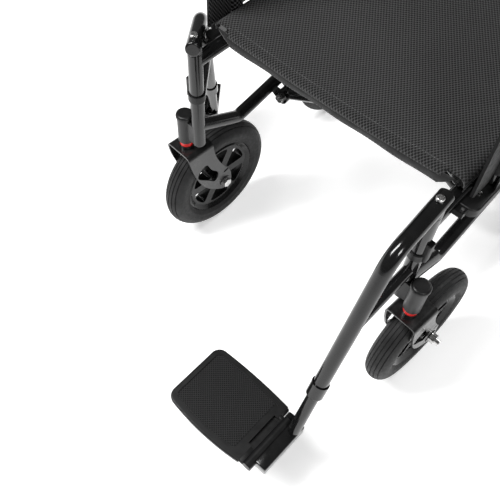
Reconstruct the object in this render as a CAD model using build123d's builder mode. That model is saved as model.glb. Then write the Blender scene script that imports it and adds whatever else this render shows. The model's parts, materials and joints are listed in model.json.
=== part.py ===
"""Folding transport wheelchair: two tubular side frames, an X cross brace, swing-away legrests.

Chair axes: +X to the sitter's left, -Y forwards, +Z up, the floor at Z = 0. The design datum is the
floor point midway between the caster stems; finished pieces are written about the centre of the
bounding box. Every paired piece is made by a function of side: +1 is the left one, -1 the right one.
"""

import os
from math import cos, radians, sin, sqrt, tan

from build123d import *

LEFT, RIGHT = 1, -1
SUFFIX = {LEFT: "l", RIGHT: "r"}

# ---- driving dimensions, millimetres and degrees ----
TUBE_R = 11.0  # 22 mm frame tube
WALL = 1.6
RUN_FIT = 0.05  # radial clearance of a pin that turns in its hole
GAP = 0.5  # air between parts that pass each other

POST_X = 202.5  # front post and rails, half of the 405 mm frame width
POST_Y = 5.0
POST_FOOT_Z = 253.0
POST_TOP_Z = 440.0
CANE_Y = 455.0
CANE_FOOT_Z = 122.0
CANE_KNEE_Z = 480.0
CANE_TOP_Z = 905.0
CANE_LEAN = 7.0
UPPER_RAIL_Z = 424.0
LOWER_BEND_Y, LOWER_BEND_Z = 95.6, 249.0
LOWER_RISE = 0.19  # rise per mm of run, behind the bend
LOWER_JOIN_Z = 295.0

STEM_X = 227.8  # caster stem
STEM_R = 8.0
CASTER_R, CASTER_W = 112.5, 41.0
TRAIL = 61.6
CASTER_TURN = {LEFT: -3.8, RIGHT: -3.1}
FORK_TOP_Z, RING_Z = 233.2, 240.0
FORK_INNER, FORK_SHEET = 24.5, 3.2
HOUSING_R, HOUSING_Z0, HOUSING_Z1 = 13.0, 248.0, 301.0

REAR_X, REAR_Y, REAR_R, REAR_W = 246.0, 478.0, 152.0, 32.0

SEAT_RAIL_X, SEAT_RAIL_Z = 198.0, 452.0
SEAT_Y0, SEAT_Y1 = 46.0, 436.0
SEAT_TOP_Z = 465.0
BRACE_FOOT_X, BRACE_FOOT_Z = 176.0, 254.5
BRACE_Y = {RIGHT: 193.0, LEFT: 217.0}  # keyed by the side frame that carries the brace's foot

ARM_X, ARM_Y, ARM_R = 222.0, 108.0, 8.5
ARM_FOOT_Z, ARM_TOP_Z = 438.0, 678.0
ARM_PIVOT_Y, ARM_PIVOT_Z = 426.0, 668.0
SHELF_Z = 426.0  # top of the armrest bracket

HANGER_CORNER = (POST_X, -77.6, 438.7)
HANGER_END = (POST_X, -176.0, 200.0)
HANGER_TAIL = (POST_X, 21.0, 459.4)
LEG_R = TUBE_R - WALL - RUN_FIT  # telescoping leg tube
PLATE_X, PLATE_Z = 186.0, 112.0  # footplate hinge axis, which runs along Y
PLATE_TOP_Z = 116.0
PLATE_FLIP = 86.0
LEG_ARM_Z = 322.0
LEG_SWING = 141.0  # how far the right legrest is swung away and stored

pieces = {}


def finish(piece, name, side=None, stance=None):
    """Names a piece and keeps it, moved by the stance in which it is stored."""
    if side is not None:
        name = f"{name}_{SUFFIX[side]}"
    solid = piece.part if stance is None else piece.part.moved(stance)
    solid.label = name
    pieces[name] = solid


def turned(x, y, z, rotation):
    """The motion that turns a piece by rotation (x, y, z angles) about the point x, y, z."""
    return Location((x, y, z)) * Location((0, 0, 0), rotation) * Location((-x, -y, -z))


def rod(start, end, radius, mode=Mode.ADD):
    """Solid round bar between two points, added to or cut from the part in hand."""
    run = Vector(*end) - Vector(*start)
    with Locations(Plane(origin=start, z_dir=run).location):
        Cylinder(radius, run.length, align=(Align.CENTER, Align.CENTER, Align.MIN), mode=mode)


def hex_bar(start, end, across, mode=Mode.ADD):
    """Hexagonal bar, as a bolt head or nut, by its size across flats."""
    run = Vector(*end) - Vector(*start)
    with BuildSketch(Plane(origin=start, z_dir=run)) as section:
        RegularPolygon(across / sqrt(3), 6)
    extrude(section.sketch, amount=run.length, mode=mode)


def pipe(points, radius, bend=None, wall=WALL):
    """Hollow round tube along straight runs that are joined by tangent arcs."""
    run = Vector(*points[1]) - Vector(*points[0])
    with BuildLine() as route:
        if bend is None:
            Line(*points)
        else:
            FilletPolyline(*points, radius=bend)
    with BuildSketch(Plane(origin=points[0], z_dir=run)) as section:
        Circle(radius)
        Circle(radius - wall, mode=Mode.SUBTRACT)
    sweep(section.sketch, path=route.wires()[0])


def block(low, high, mode=Mode.ADD):
    """Box between two opposite corners."""
    size = [abs(b - a) for a, b in zip(low, high)]
    middle = tuple((a + b) / 2 for a, b in zip(low, high))
    with Locations(middle):
        Box(*size, mode=mode)


# ---- side frames ----
def lower_rail_z(y):
    return LOWER_BEND_Z + LOWER_RISE * (y - LOWER_BEND_Y)


def cane_y(z):
    return CANE_Y + max(0.0, z - CANE_KNEE_Z) * tan(radians(CANE_LEAN))


def front_post(side):
    """Upright tube with a bored top plug, and the latch collar that the legrest's arm stops under."""
    x = side * POST_X
    plug, foot, bore = 28.0, 6.0, 5.0
    with BuildPart() as post:
        rod((x, POST_Y, POST_FOOT_Z), (x, POST_Y, POST_TOP_Z), TUBE_R)
        fillet(post.edges().group_by(Axis.Z)[0], 3.5)
        fillet(post.edges().group_by(Axis.Z)[-1], 1.0)
        hollow = [(x, POST_Y, z) for z in (POST_FOOT_Z + foot, POST_TOP_Z - plug)]
        rod(*hollow, TUBE_R - WALL, Mode.SUBTRACT)
        rod((x, POST_Y, POST_TOP_Z - plug), (x, POST_Y, POST_TOP_Z), bore, Mode.SUBTRACT)
    with BuildPart() as collar:
        rod((x, POST_Y, 352), (x, POST_Y, 364), TUBE_R + 2.4)
        block((x, POST_Y - 6.5, 354), (x + side * 16.5, POST_Y + 6.5, 388))
        fillet(collar.edges().filter_by(Axis.Z).sort_by(Axis.X, reverse=side > 0)[:2], 3)
        fillet(collar.edges().group_by(Axis.Z)[-1], 1.5)
        rod((x, POST_Y, 340), (x, POST_Y, 400), TUBE_R, Mode.SUBTRACT)
    finish(post, "front_post", side)
    finish(collar, "legrest_latch", side)


def upper_rail(side):
    """Straight rail from the front post to the back cane, under the seat rail."""
    x = side * POST_X
    with BuildPart() as rail:
        pipe([(x, POST_Y, UPPER_RAIL_Z), (x, CANE_Y, UPPER_RAIL_Z)], TUBE_R)
        for y in (POST_Y, CANE_Y):
            rod((x, y, UPPER_RAIL_Z - 30), (x, y, UPPER_RAIL_Z + 30), TUBE_R, Mode.SUBTRACT)
    finish(rail, "upper_rail", side)


def lower_rail(side):
    """Rail that drops from the post, bends and runs back to the cane, with the welded brace clevis."""
    x, foot_x, foot_y = side * POST_X, side * BRACE_FOOT_X, BRACE_Y[side]
    ear, half_gap, lug_r = 4.0, 11.0 + GAP, 13.0
    beam_z = lower_rail_z(foot_y)
    with BuildPart() as rail:
        for start in (foot_y - half_gap - ear, foot_y + half_gap):
            with BuildSketch(Plane.XZ.offset(-start - ear)):
                with BuildLine():
                    Line((foot_x, BRACE_FOOT_Z + lug_r), (x, beam_z + 2))
                    Line((x, beam_z + 2), (x, beam_z - TUBE_R + 1))
                    Line((x, beam_z - TUBE_R + 1), (foot_x, BRACE_FOOT_Z - lug_r))
                    ThreePointArc(
                        (foot_x, BRACE_FOOT_Z - lug_r),
                        (foot_x - side * lug_r, BRACE_FOOT_Z),
                        (foot_x, BRACE_FOOT_Z + lug_r),
                    )
                make_face()
            extrude(amount=ear)
        rod((foot_x, foot_y - 40, BRACE_FOOT_Z), (foot_x, foot_y + 40, BRACE_FOOT_Z), 4.0, Mode.SUBTRACT)
        core = [(x, y, lower_rail_z(y)) for y in (foot_y - 60, foot_y + 60)]
        rod(*core, TUBE_R - WALL / 2, Mode.SUBTRACT)
        pipe(
            [
                (x, POST_Y, LOWER_JOIN_Z),
                (x, LOWER_BEND_Y, LOWER_BEND_Z),
                (x, CANE_Y, lower_rail_z(CANE_Y)),
            ],
            TUBE_R,
            bend=24,
        )
        rod((x, POST_Y, 250), (x, POST_Y, 330), TUBE_R, Mode.SUBTRACT)
        rod((x, CANE_Y, 280), (x, CANE_Y, 350), TUBE_R, Mode.SUBTRACT)
    finish(rail, "lower_rail", side)


def back_cane(side):
    """Rear upright with a leaned-back top and push handle, and the welded boss of the rear axle."""
    x = side * POST_X
    lean_y = cane_y(CANE_TOP_Z)
    with BuildPart() as cane:
        rod((x - side * 12, REAR_Y, REAR_R), (x + side * 16, REAR_Y, REAR_R), 13)
        block((x - 3, CANE_Y, REAR_R - 22), (x + 3, REAR_Y + 2, REAR_R + 22))
        rod((x - side * 20, REAR_Y, REAR_R), (x + side * 20, REAR_Y, REAR_R), 6.0, Mode.SUBTRACT)
        rod((x, CANE_Y, 100), (x, CANE_Y, 220), TUBE_R - WALL / 2, Mode.SUBTRACT)
        pipe(
            [
                (x, CANE_Y, CANE_FOOT_Z),
                (x, CANE_Y, CANE_KNEE_Z),
                (x, lean_y, CANE_TOP_Z),
                (x, lean_y + 135, CANE_TOP_Z + 12),
            ],
            TUBE_R,
            bend=[150, 48],
        )
    finish(cane, "back_cane", side)


def push_grip(side):
    """Ribbed rubber sleeve on the handle, closed at its rear end."""
    x, lean_y = side * POST_X, cane_y(CANE_TOP_Z)
    run = Vector(0, 135, 12).normalized()
    tip = Vector(x, lean_y + 135, CANE_TOP_Z + 12)
    length, rib = 104.0, 9.0
    root = tip - run * (length - 6)
    with BuildPart() as grip:
        rod(tuple(root), tuple(root + run * length), 15)
        fillet(grip.edges().group_by(Axis.Y)[-1], 4)
        rod(tuple(root), tuple(root + run * 5), 17.5)
        for i in range(8):
            start = root + run * (16 + i * rib)
            rod(tuple(start), tuple(start + run * 3.5), 16)
        rod(tuple(root), tuple(tip + run * 0.2), TUBE_R + 0.05, Mode.SUBTRACT)
    finish(grip, "push_grip", side)


# ---- casters ----
def caster_housing(side):
    """Stem barrel beside the front post, joined to it by a short web, with its domed cap."""
    x = side * STEM_X
    with BuildPart() as barrel:
        rod((x, 0, HOUSING_Z0), (x, 0, HOUSING_Z1), HOUSING_R)
        chamfer(barrel.edges().group_by(Axis.Z)[0], 1.2)
        block((side * POST_X, -6, 259), (x, 10, 297))
        rod((x, 0, HOUSING_Z0), (x, 0, HOUSING_Z1 - 4), STEM_R + RUN_FIT, Mode.SUBTRACT)
        rod((side * POST_X, POST_Y, 240), (side * POST_X, POST_Y, 310), TUBE_R, Mode.SUBTRACT)
        rail_run = [(POST_Y, LOWER_JOIN_Z), (LOWER_BEND_Y, LOWER_BEND_Z)]
        rod(*[(side * POST_X, *point) for point in rail_run], TUBE_R, Mode.SUBTRACT)
    with BuildPart() as cap:
        rod((x, 0, HOUSING_Z1), (x, 0, HOUSING_Z1 + 7), 14.6)
        fillet(cap.edges().group_by(Axis.Z)[-1], 4.5)
        rod((side * POST_X, POST_Y, 240), (side * POST_X, POST_Y, 330), TUBE_R + 0.3, Mode.SUBTRACT)
    finish(barrel, "caster_housing", side)
    finish(cap, "caster_cap", side)


def caster_fork(side, stance):
    """Folded sheet fork: flat crown, two lobed cheeks with a kidney window, and the upright stem."""
    x = side * STEM_X
    outer = FORK_INNER + FORK_SHEET
    with BuildPart() as fork:
        with BuildSketch(Plane.XZ.offset(-85)) as section:
            with Locations((x, FORK_TOP_Z - 80)):
                Rectangle(2 * outer, 160)
            fillet(section.vertices().group_by(Axis.Y)[-1], 9)
            with BuildSketch(mode=Mode.SUBTRACT) as hollow:
                with Locations((x, FORK_TOP_Z - FORK_SHEET - 80)):
                    Rectangle(2 * FORK_INNER, 160)
                fillet(hollow.vertices().group_by(Axis.Y)[-1], 9 - FORK_SHEET)
        extrude(amount=120)
        with BuildSketch(Plane.YZ.offset(x - 45)):
            with BuildLine():
                Line((-20, FORK_TOP_Z + 1), (35, FORK_TOP_Z + 1))
                Spline(
                    (35, FORK_TOP_Z + 1),
                    (43, 190),
                    (66, 147),
                    (TRAIL + 15, 115),
                    tangents=((0, -1), (0, -1)),
                )
                ThreePointArc((TRAIL + 15, 115), (TRAIL + 8, 99), (TRAIL - 8, 98))
                Spline(
                    (TRAIL - 8, 98),
                    (16, 131),
                    (-10, 187),
                    (-20, FORK_TOP_Z + 1),
                    tangents=((-1, 0.6), (-0.1, 1)),
                )
            make_face()
            with BuildLine(mode=Mode.PRIVATE) as window:
                Spline((4, 184), (18, 190), (30, 169), (45, 147), (38, 134), (21, 147), periodic=True)
            make_face(window.edges(), mode=Mode.SUBTRACT)
            with Locations((TRAIL + 2, 142)):
                SlotOverall(11, 4.5, rotation=15, mode=Mode.SUBTRACT)
        extrude(amount=90, mode=Mode.INTERSECT)
        for way in (-1, 1):
            rod((x + way * (outer - 1), TRAIL, CASTER_R), (x + way * (outer + 1.2), TRAIL, CASTER_R), 12)
        rod((x - 40, TRAIL, CASTER_R), (x + 40, TRAIL, CASTER_R), 5.0, Mode.SUBTRACT)
        rod((x, 0, FORK_TOP_Z - 1), (x, 0, HOUSING_Z1 - 6), STEM_R)
        rod((x, 0, FORK_TOP_Z - 1), (x, 0, RING_Z), 12.0)
    with BuildPart() as ring:
        rod((x, 0, RING_Z), (x, 0, HOUSING_Z0 - 0.5), 11.0)
        fillet(ring.edges().group_by(Axis.Z)[-1], 1)
        rod((x, 0, RING_Z), (x, 0, HOUSING_Z0), STEM_R, Mode.SUBTRACT)
    finish(fork, "caster_fork", side, stance)
    finish(ring, "stem_ring", side, stance)


def caster_axle(side, stance):
    """Axle bolt with its head inboard, nut and stud outboard, and the two hub spacers."""
    x, outer = side * STEM_X, FORK_INNER + FORK_SHEET + 1.2
    with BuildPart() as axle:
        rod((x - side * (outer + 1), TRAIL, CASTER_R), (x + side * (outer + 17), TRAIL, CASTER_R), 5.0)
        hex_bar((x - side * outer, TRAIL, CASTER_R), (x - side * (outer + 6), TRAIL, CASTER_R), 15)
        rod((x + side * outer, TRAIL, CASTER_R), (x + side * (outer + 1.5), TRAIL, CASTER_R), 9)
        hex_bar((x + side * (outer + 1.5), TRAIL, CASTER_R), (x + side * (outer + 9), TRAIL, CASTER_R), 15)
        for way in (-1, 1):
            rod((x + way * 21.3, TRAIL, CASTER_R), (x + way * FORK_INNER, TRAIL, CASTER_R), 9)
    finish(axle, "caster_axle", side, stance)


def wheel(name, side, centre, radius, width, seat_r, hub_r, spokes, bore, stance=None):
    """Ribbed solid tyre on a spoked plastic rim, turning about the X direction."""
    spin = Axis(centre, (1, 0, 0))
    profile = Plane(origin=centre, x_dir=(1, 0, 0), z_dir=(0, -1, 0))
    face = Plane(origin=centre, x_dir=(0, 1, 0), z_dir=(1, 0, 0))
    half, bead, crown_r = width / 2, width * 0.36, width / 2
    shoulder = radius - crown_r
    with BuildPart() as tyre:
        with BuildSketch(profile):
            with BuildLine():
                ThreePointArc((-half, shoulder), (0, radius), (half, shoulder))
                Line((half, shoulder), (half - 1, seat_r + 7))
                Line((half - 1, seat_r + 7), (bead, seat_r))
                Line((bead, seat_r), (-bead, seat_r))
                Line((-bead, seat_r), (1 - half, seat_r + 7))
                Line((1 - half, seat_r + 7), (-half, shoulder))
            make_face()
            for groove in (-0.62, -0.32, 0.0, 0.32, 0.62):
                across = groove * half
                with Locations((across, shoulder + sqrt(crown_r**2 - across**2))):
                    Rectangle(1.7, 2.8, mode=Mode.SUBTRACT)
        revolve(axis=spin)
    web, lip = width * 0.26, 10.0
    with BuildPart() as rim:
        with BuildSketch(profile):
            with BuildLine():
                Polyline(
                    (-bead, seat_r),
                    (bead, seat_r),
                    (bead + 2, seat_r - 3),
                    (web, seat_r - lip),
                    (web, hub_r + 4),
                    (hub_r * 0.6, hub_r),
                    (21.0, hub_r - 3),
                    (21.0, bore),
                    (-21.0, bore),
                    (-21.0, hub_r - 3),
                    (-hub_r * 0.6, hub_r),
                    (-web, hub_r + 4),
                    (-web, seat_r - lip),
                    (-bead - 2, seat_r - 3),
                    close=True,
                )
            make_face()
        revolve(axis=spin)
        with BuildSketch(face.offset(-width)) as windows:
            Circle(seat_r - lip - 5)
            Circle(hub_r + 8, mode=Mode.SUBTRACT)
            with PolarLocations(0, spokes):
                with Locations(((seat_r + hub_r) / 2, 0)):
                    Rectangle(seat_r, hub_r * 1.1, mode=Mode.SUBTRACT)
            fillet(windows.vertices(), 4.5)
        extrude(amount=2 * width, mode=Mode.SUBTRACT)
    finish(tyre, f"{name}_tyre", side, stance)
    finish(rim, f"{name}_rim", side, stance)


# ---- cross brace and seat ----
BRACE_SLOPE = (SEAT_RAIL_Z - BRACE_FOOT_Z) / (SEAT_RAIL_X + BRACE_FOOT_X)
BRACE_CENTRE_Z = BRACE_FOOT_Z + BRACE_FOOT_X * BRACE_SLOPE


def cross_brace(side):
    """Diagonal tube from its foot on this side up to the seat rail of the other side.

    The left-footed one holds the centre pin, on which the right-footed one turns.
    """
    y, x = BRACE_Y[side], side * BRACE_FOOT_X
    top_x = -side * SEAT_RAIL_X
    pin_r, short = 5.0, 5.0
    y0, y1 = BRACE_Y[RIGHT] - 13.5, BRACE_Y[LEFT] + 9
    with BuildPart() as brace:
        tip_z = SEAT_RAIL_Z - short * BRACE_SLOPE
        pipe([(x, y, BRACE_FOOT_Z), (top_x + side * short, y, tip_z)], TUBE_R, wall=2.0)
        rod((x, y - 11, BRACE_FOOT_Z), (x, y + 11, BRACE_FOOT_Z), 12.5)
        rod((x, y - 12, BRACE_FOOT_Z), (x, y + 12, BRACE_FOOT_Z), 4.0 + RUN_FIT, Mode.SUBTRACT)
        rod((top_x, y - 30, SEAT_RAIL_Z), (top_x, y + 30, SEAT_RAIL_Z), TUBE_R, Mode.SUBTRACT)
        if side == LEFT:
            rod((0, y0, BRACE_CENTRE_Z), (0, y1, BRACE_CENTRE_Z), pin_r)
            rod((0, y0 - 5, BRACE_CENTRE_Z), (0, y0, BRACE_CENTRE_Z), 9)
        else:
            rod((0, y - 20, BRACE_CENTRE_Z), (0, y + 20, BRACE_CENTRE_Z), pin_r + RUN_FIT, Mode.SUBTRACT)
    finish(brace, "cross_brace", side)


def seat_rail(side):
    """Tube inside the seat's side sleeve, with rounded plastic-plugged ends."""
    x = side * SEAT_RAIL_X
    with BuildPart() as rail:
        rod((x, SEAT_Y0 + 12, SEAT_RAIL_Z), (x, SEAT_Y1, SEAT_RAIL_Z), TUBE_R)
        fillet(rail.edges().filter_by(GeomType.CIRCLE), 3)
        rod((x, SEAT_Y0 + 20, SEAT_RAIL_Z), (x, SEAT_Y1 - 8, SEAT_RAIL_Z), TUBE_R - WALL, Mode.SUBTRACT)
    finish(rail, "seat_rail", side)


def seat_guides(side):
    """Two plastic saddles on the upper rail, in which the seat rail lies when the chair is open."""
    x = side * POST_X
    middle = (UPPER_RAIL_Z + SEAT_RAIL_Z) / 2
    with BuildPart() as guides:
        for y in (150.0, 392.0):
            block((x - 15, y, middle - 9), (x + 9.5, y + 26, middle + 9))
        fillet(guides.edges().filter_by(Axis.Y), 2)
        rod((x, 0, UPPER_RAIL_Z), (x, 500, UPPER_RAIL_Z), TUBE_R, Mode.SUBTRACT)
        bed = [(side * SEAT_RAIL_X, y, SEAT_RAIL_Z) for y in (0, 500)]
        rod(*bed, TUBE_R + GAP, Mode.SUBTRACT)
    finish(guides, "seat_guides", side)


def seat():
    """Sling seat: a slightly sagging sheet between the rails, lapped over them, with a turned-down front."""
    sag, thick, lap = 9.0, 5.0, SEAT_RAIL_X + 9
    inner = SEAT_RAIL_X - 13
    with BuildPart() as sling:
        with BuildSketch(Plane.XZ.offset(-SEAT_Y1)):
            with BuildLine():
                Line((-lap, SEAT_TOP_Z - 3), (-SEAT_RAIL_X, SEAT_TOP_Z))
                ThreePointArc((-SEAT_RAIL_X, SEAT_TOP_Z), (0, SEAT_TOP_Z - sag), (SEAT_RAIL_X, SEAT_TOP_Z))
                Line((SEAT_RAIL_X, SEAT_TOP_Z), (lap, SEAT_TOP_Z - 3))
                Line((lap, SEAT_TOP_Z - 3), (lap, SEAT_TOP_Z - 9))
                Line((lap, SEAT_TOP_Z - 9), (inner, SEAT_TOP_Z - thick - 1))
                ThreePointArc(
                    (inner, SEAT_TOP_Z - thick - 1),
                    (0, SEAT_TOP_Z - thick - sag),
                    (-inner, SEAT_TOP_Z - thick - 1),
                )
                Line((-inner, SEAT_TOP_Z - thick - 1), (-lap, SEAT_TOP_Z - 9))
                Line((-lap, SEAT_TOP_Z - 9), (-lap, SEAT_TOP_Z - 3))
            make_face()
        extrude(amount=SEAT_Y1 - SEAT_Y0)
        with BuildSketch(Plane.XZ.offset(-SEAT_Y0 - 4)):
            with BuildLine():
                Polyline((-190, 458), (-171, 437), (171, 437), (190, 458))
                ThreePointArc((190, 458), (0, 453), (-190, 458))
            make_face()
        extrude(amount=4)
        for side in (LEFT, RIGHT):
            x = side * SEAT_RAIL_X
            rod((x, 0, SEAT_RAIL_Z), (x, 500, SEAT_RAIL_Z), TUBE_R + 0.3, Mode.SUBTRACT)
            y, foot_x = BRACE_Y[side], side * BRACE_FOOT_X
            rod((foot_x, y, BRACE_FOOT_Z), (-x, y, SEAT_RAIL_Z), TUBE_R + 0.5, Mode.SUBTRACT)
    finish(sling, "seat")


def back():
    """Back sling between the canes, bowed backwards."""
    foot_z, top_z, thick, bow = 505.0, 868.0, 6.0, 26.0
    half = POST_X - TUBE_R - 0.6
    lean = radians(CANE_LEAN)
    base = Plane(origin=(0, cane_y(foot_z), foot_z), x_dir=(1, 0, 0), z_dir=(0, sin(lean), cos(lean)))
    with BuildPart() as sling:
        with BuildSketch(base):
            with BuildLine():
                ThreePointArc((-half, -3), (0, bow - 3), (half, -3))
                Line((half, -3), (half, 3))
                ThreePointArc((half, 3), (0, bow - 3 + thick), (-half, 3))
                Line((-half, 3), (-half, -3))
            make_face()
        extrude(amount=(top_z - foot_z) / cos(lean))
    finish(sling, "back")


# ---- armrests ----
def arm_bracket(side):
    """Rounded block beside the upper rail, with an open-fronted clip that the armrest post stands in."""
    x, front, rear = side * POST_X, 52.0, ARM_Y + 17
    with BuildPart() as bracket:
        block((x, front, SHELF_Z - 14), (side * 237.0, rear, SHELF_Z))
        fillet(bracket.edges().filter_by(Axis.Z).sort_by(Axis.X, reverse=side > 0)[:2], 13)
        fillet(bracket.edges().group_by(Axis.Z)[-1], 2.5)
        block((x, front - 12, SHELF_Z - 10), (side * 226.0, front, SHELF_Z - 1))
        block((side * (ARM_X - 9), ARM_Y + ARM_R + 1, SHELF_Z - 2), (side * (ARM_X + 12), ARM_Y + 14, 447))
        block((side * (ARM_X + ARM_R + 1), ARM_Y - 8, SHELF_Z - 2), (side * (ARM_X + 12), ARM_Y + 14, 443))
        rod((x, 0, UPPER_RAIL_Z), (x, 200, UPPER_RAIL_Z), TUBE_R, Mode.SUBTRACT)
        block((x - side * 20, 0, 400), (x + side * 3, 200, 470), Mode.SUBTRACT)
        bed = [(side * SEAT_RAIL_X, y, SEAT_RAIL_Z) for y in (0, 200)]
        rod(*bed, TUBE_R + 1.0, Mode.SUBTRACT)
    finish(bracket, "arm_bracket", side)


def armrest(side):
    """Armrest tube, its padded top, and the plastic side panel below it; all flip back together."""
    x = side * ARM_X
    with BuildPart() as frame:
        pipe(
            [(x, ARM_Y, ARM_FOOT_Z), (x, ARM_Y, ARM_TOP_Z), (x, ARM_PIVOT_Y - 10, ARM_TOP_Z - 2)],
            ARM_R,
            bend=42,
        )
        rod((x, ARM_Y, ARM_FOOT_Z - 8), (x, ARM_Y, ARM_FOOT_Z + 4), ARM_R - 0.4)
        fillet(frame.edges().group_by(Axis.Z)[0], 2)
        rod((x - 7, ARM_PIVOT_Y, ARM_PIVOT_Z), (x + 7, ARM_PIVOT_Y, ARM_PIVOT_Z), 13)
        bore = [(along_x, ARM_PIVOT_Y, ARM_PIVOT_Z) for along_x in (x - 12, x + 12)]
        rod(*bore, 5.0 + RUN_FIT, Mode.SUBTRACT)
    pad_z0, pad_z1 = ARM_TOP_Z + ARM_R + 0.3, ARM_TOP_Z + ARM_R + 22
    with BuildPart() as pad:
        with BuildSketch(Plane.XY.offset(pad_z0)):
            with Locations((x, ARM_PIVOT_Y - 183)):
                SlotOverall(300, 50, rotation=90)
        extrude(amount=pad_z1 - pad_z0)
        fillet(pad.edges().group_by(Axis.Z)[-1], 9)
        fillet(pad.edges().group_by(Axis.Z)[0], 4)
    panel_y0, panel_y1, panel_z0 = 52.0, ARM_PIVOT_Y - 12, 440.0
    panel_z1 = ARM_TOP_Z - ARM_R - 4.5
    with BuildPart() as panel:
        with BuildSketch(Plane.YZ.offset(x - 2)) as outline:
            with BuildLine():
                Polyline(
                    (panel_y0, panel_z0 + 6),
                    (panel_y0 + 8, panel_z0),
                    (ARM_Y - 14, panel_z0),
                    (ARM_Y - 12, 450),
                    (ARM_Y + 40, 453),
                    (panel_y1 - 40, 474),
                    (panel_y1, 534),
                    (panel_y1, panel_z1 - 30),
                    (panel_y1 - 8, panel_z1),
                    (ARM_Y + 50, panel_z1),
                    (panel_y0, panel_z1 - 90),
                    close=True,
                )
            make_face()
            fillet(outline.vertices().group_by(Axis.X)[0].sort_by(Axis.Y)[-1], 30)
        extrude(amount=4)
        rod((x, ARM_Y, 451), (x, ARM_Y, 600), ARM_R + 3.0)
        rod((x, ARM_Y, 445), (x, ARM_Y, ARM_TOP_Z - 42), ARM_R + 0.3, Mode.SUBTRACT)
        bend_top = ARM_TOP_Z - 42
        block((x - 9, ARM_Y - 9, bend_top - 1), (x + 9, ARM_Y + 60, ARM_TOP_Z + 9), Mode.SUBTRACT)
    finish(frame, "arm_frame", side)
    finish(pad, "arm_pad", side)
    finish(panel, "side_panel", side)


def arm_hinge(side):
    """Clamp on the back cane with the pin on which the armrest flips."""
    x, y = side * POST_X, cane_y(ARM_PIVOT_Z)
    lean = tan(radians(CANE_LEAN))
    cane_low = (x, y - 40 * lean, ARM_PIVOT_Z - 40)
    cane_high = (x, y + 40 * lean, ARM_PIVOT_Z + 40)
    with BuildPart() as hinge:
        rod((x, y - 14 * lean, ARM_PIVOT_Z - 14), (x, y + 14 * lean, ARM_PIVOT_Z + 14), TUBE_R + 3.5)
        block((x - side * 7, ARM_PIVOT_Y - 9, ARM_PIVOT_Z - 11), (side * (ARM_X - 8.5), y, ARM_PIVOT_Z + 11))
        rod(cane_low, cane_high, TUBE_R, Mode.SUBTRACT)
        block((x - side * 20, y - 30, 600), (x - side * 9.5, y + 30, 700), Mode.SUBTRACT)
        for near, far, pin_r in ((-12, 9, 5.0), (7.5, 10.5, 9.0)):
            ends = [(side * (ARM_X + reach), ARM_PIVOT_Y, ARM_PIVOT_Z) for reach in (near, far)]
            rod(*ends, pin_r)
    finish(hinge, "arm_hinge", side)


# ---- wheel locks ----
LOCK_REACH = REAR_R + 21.0
LOCK_Y = REAR_Y - LOCK_REACH * cos(radians(50))
LOCK_Z = REAR_R + LOCK_REACH * sin(radians(50))


def wheel_lock(side):
    """Bracket on the lower rail with a pivot pin, and a hand lever whose cam presses on the tyre."""
    x, rail_z = side * POST_X, lower_rail_z(LOCK_Y)
    face_x = side * (POST_X + TUBE_R + 0.4)
    with BuildPart() as bracket:
        block((face_x, LOCK_Y - 16, LOCK_Z - 13), (face_x + side * 4, LOCK_Y + 16, rail_z + 13))
        block((x, LOCK_Y - 12, rail_z - 14), (face_x + side * 2, LOCK_Y + 12, rail_z + 14))
        core = [(x, y, lower_rail_z(y)) for y in (LOCK_Y - 50, LOCK_Y + 50)]
        rod(*core, TUBE_R, Mode.SUBTRACT)
        rod((face_x, LOCK_Y, LOCK_Z), (side * (REAR_X + 13), LOCK_Y, LOCK_Z), 4.0)
        rod((side * (REAR_X + 11.5), LOCK_Y, LOCK_Z), (side * (REAR_X + 14), LOCK_Y, LOCK_Z), 7.0)
    cam_low, arm_x = 13.0, side * (POST_X + TUBE_R + 12)
    toe = Vector(0, REAR_Y - LOCK_Y, REAR_R - LOCK_Z).normalized().rotate(Axis.X, -50)
    with BuildPart() as lever:
        rod((face_x + side * 5, LOCK_Y, LOCK_Z), (side * (REAR_X + 10.5), LOCK_Y, LOCK_Z), cam_low)
        shoe = Vector(side * (REAR_X - 9), LOCK_Y, LOCK_Z) + toe * 9.5
        rod(tuple(shoe), tuple(shoe + Vector(side * 18, 0, 0)), 11.0)
        start = Vector(arm_x, LOCK_Y, LOCK_Z + 6)
        rod(tuple(start), (arm_x, LOCK_Y - 14, LOCK_Z + 96), 4.5)
        rod((arm_x, LOCK_Y - 8, LOCK_Z + 60), (arm_x, LOCK_Y - 19, LOCK_Z + 130), 8.5)
        fillet(lever.edges().group_by(Axis.Z)[-1], 4)
        bore = [(along_x, LOCK_Y, LOCK_Z) for along_x in (face_x - side * 5, side * (REAR_X + 30))]
        rod(*bore, 4.0 + RUN_FIT, Mode.SUBTRACT)
    finish(bracket, "lock_bracket", side)
    finish(lever, "lock_lever", side)


# ---- legrests ----
def at_side(side, point):
    return (side * point[0], point[1], point[2])


LEG_RUN = Vector(*HANGER_END) - Vector(*HANGER_CORNER)
LEG_DOWN = LEG_RUN.normalized()


def along_leg(side, distance):
    """Point on the legrest's lower centreline, this far below the hanger's end."""
    point = Vector(*HANGER_END) + LEG_DOWN * distance
    return at_side(side, (point.X, point.Y, point.Z))


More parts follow.
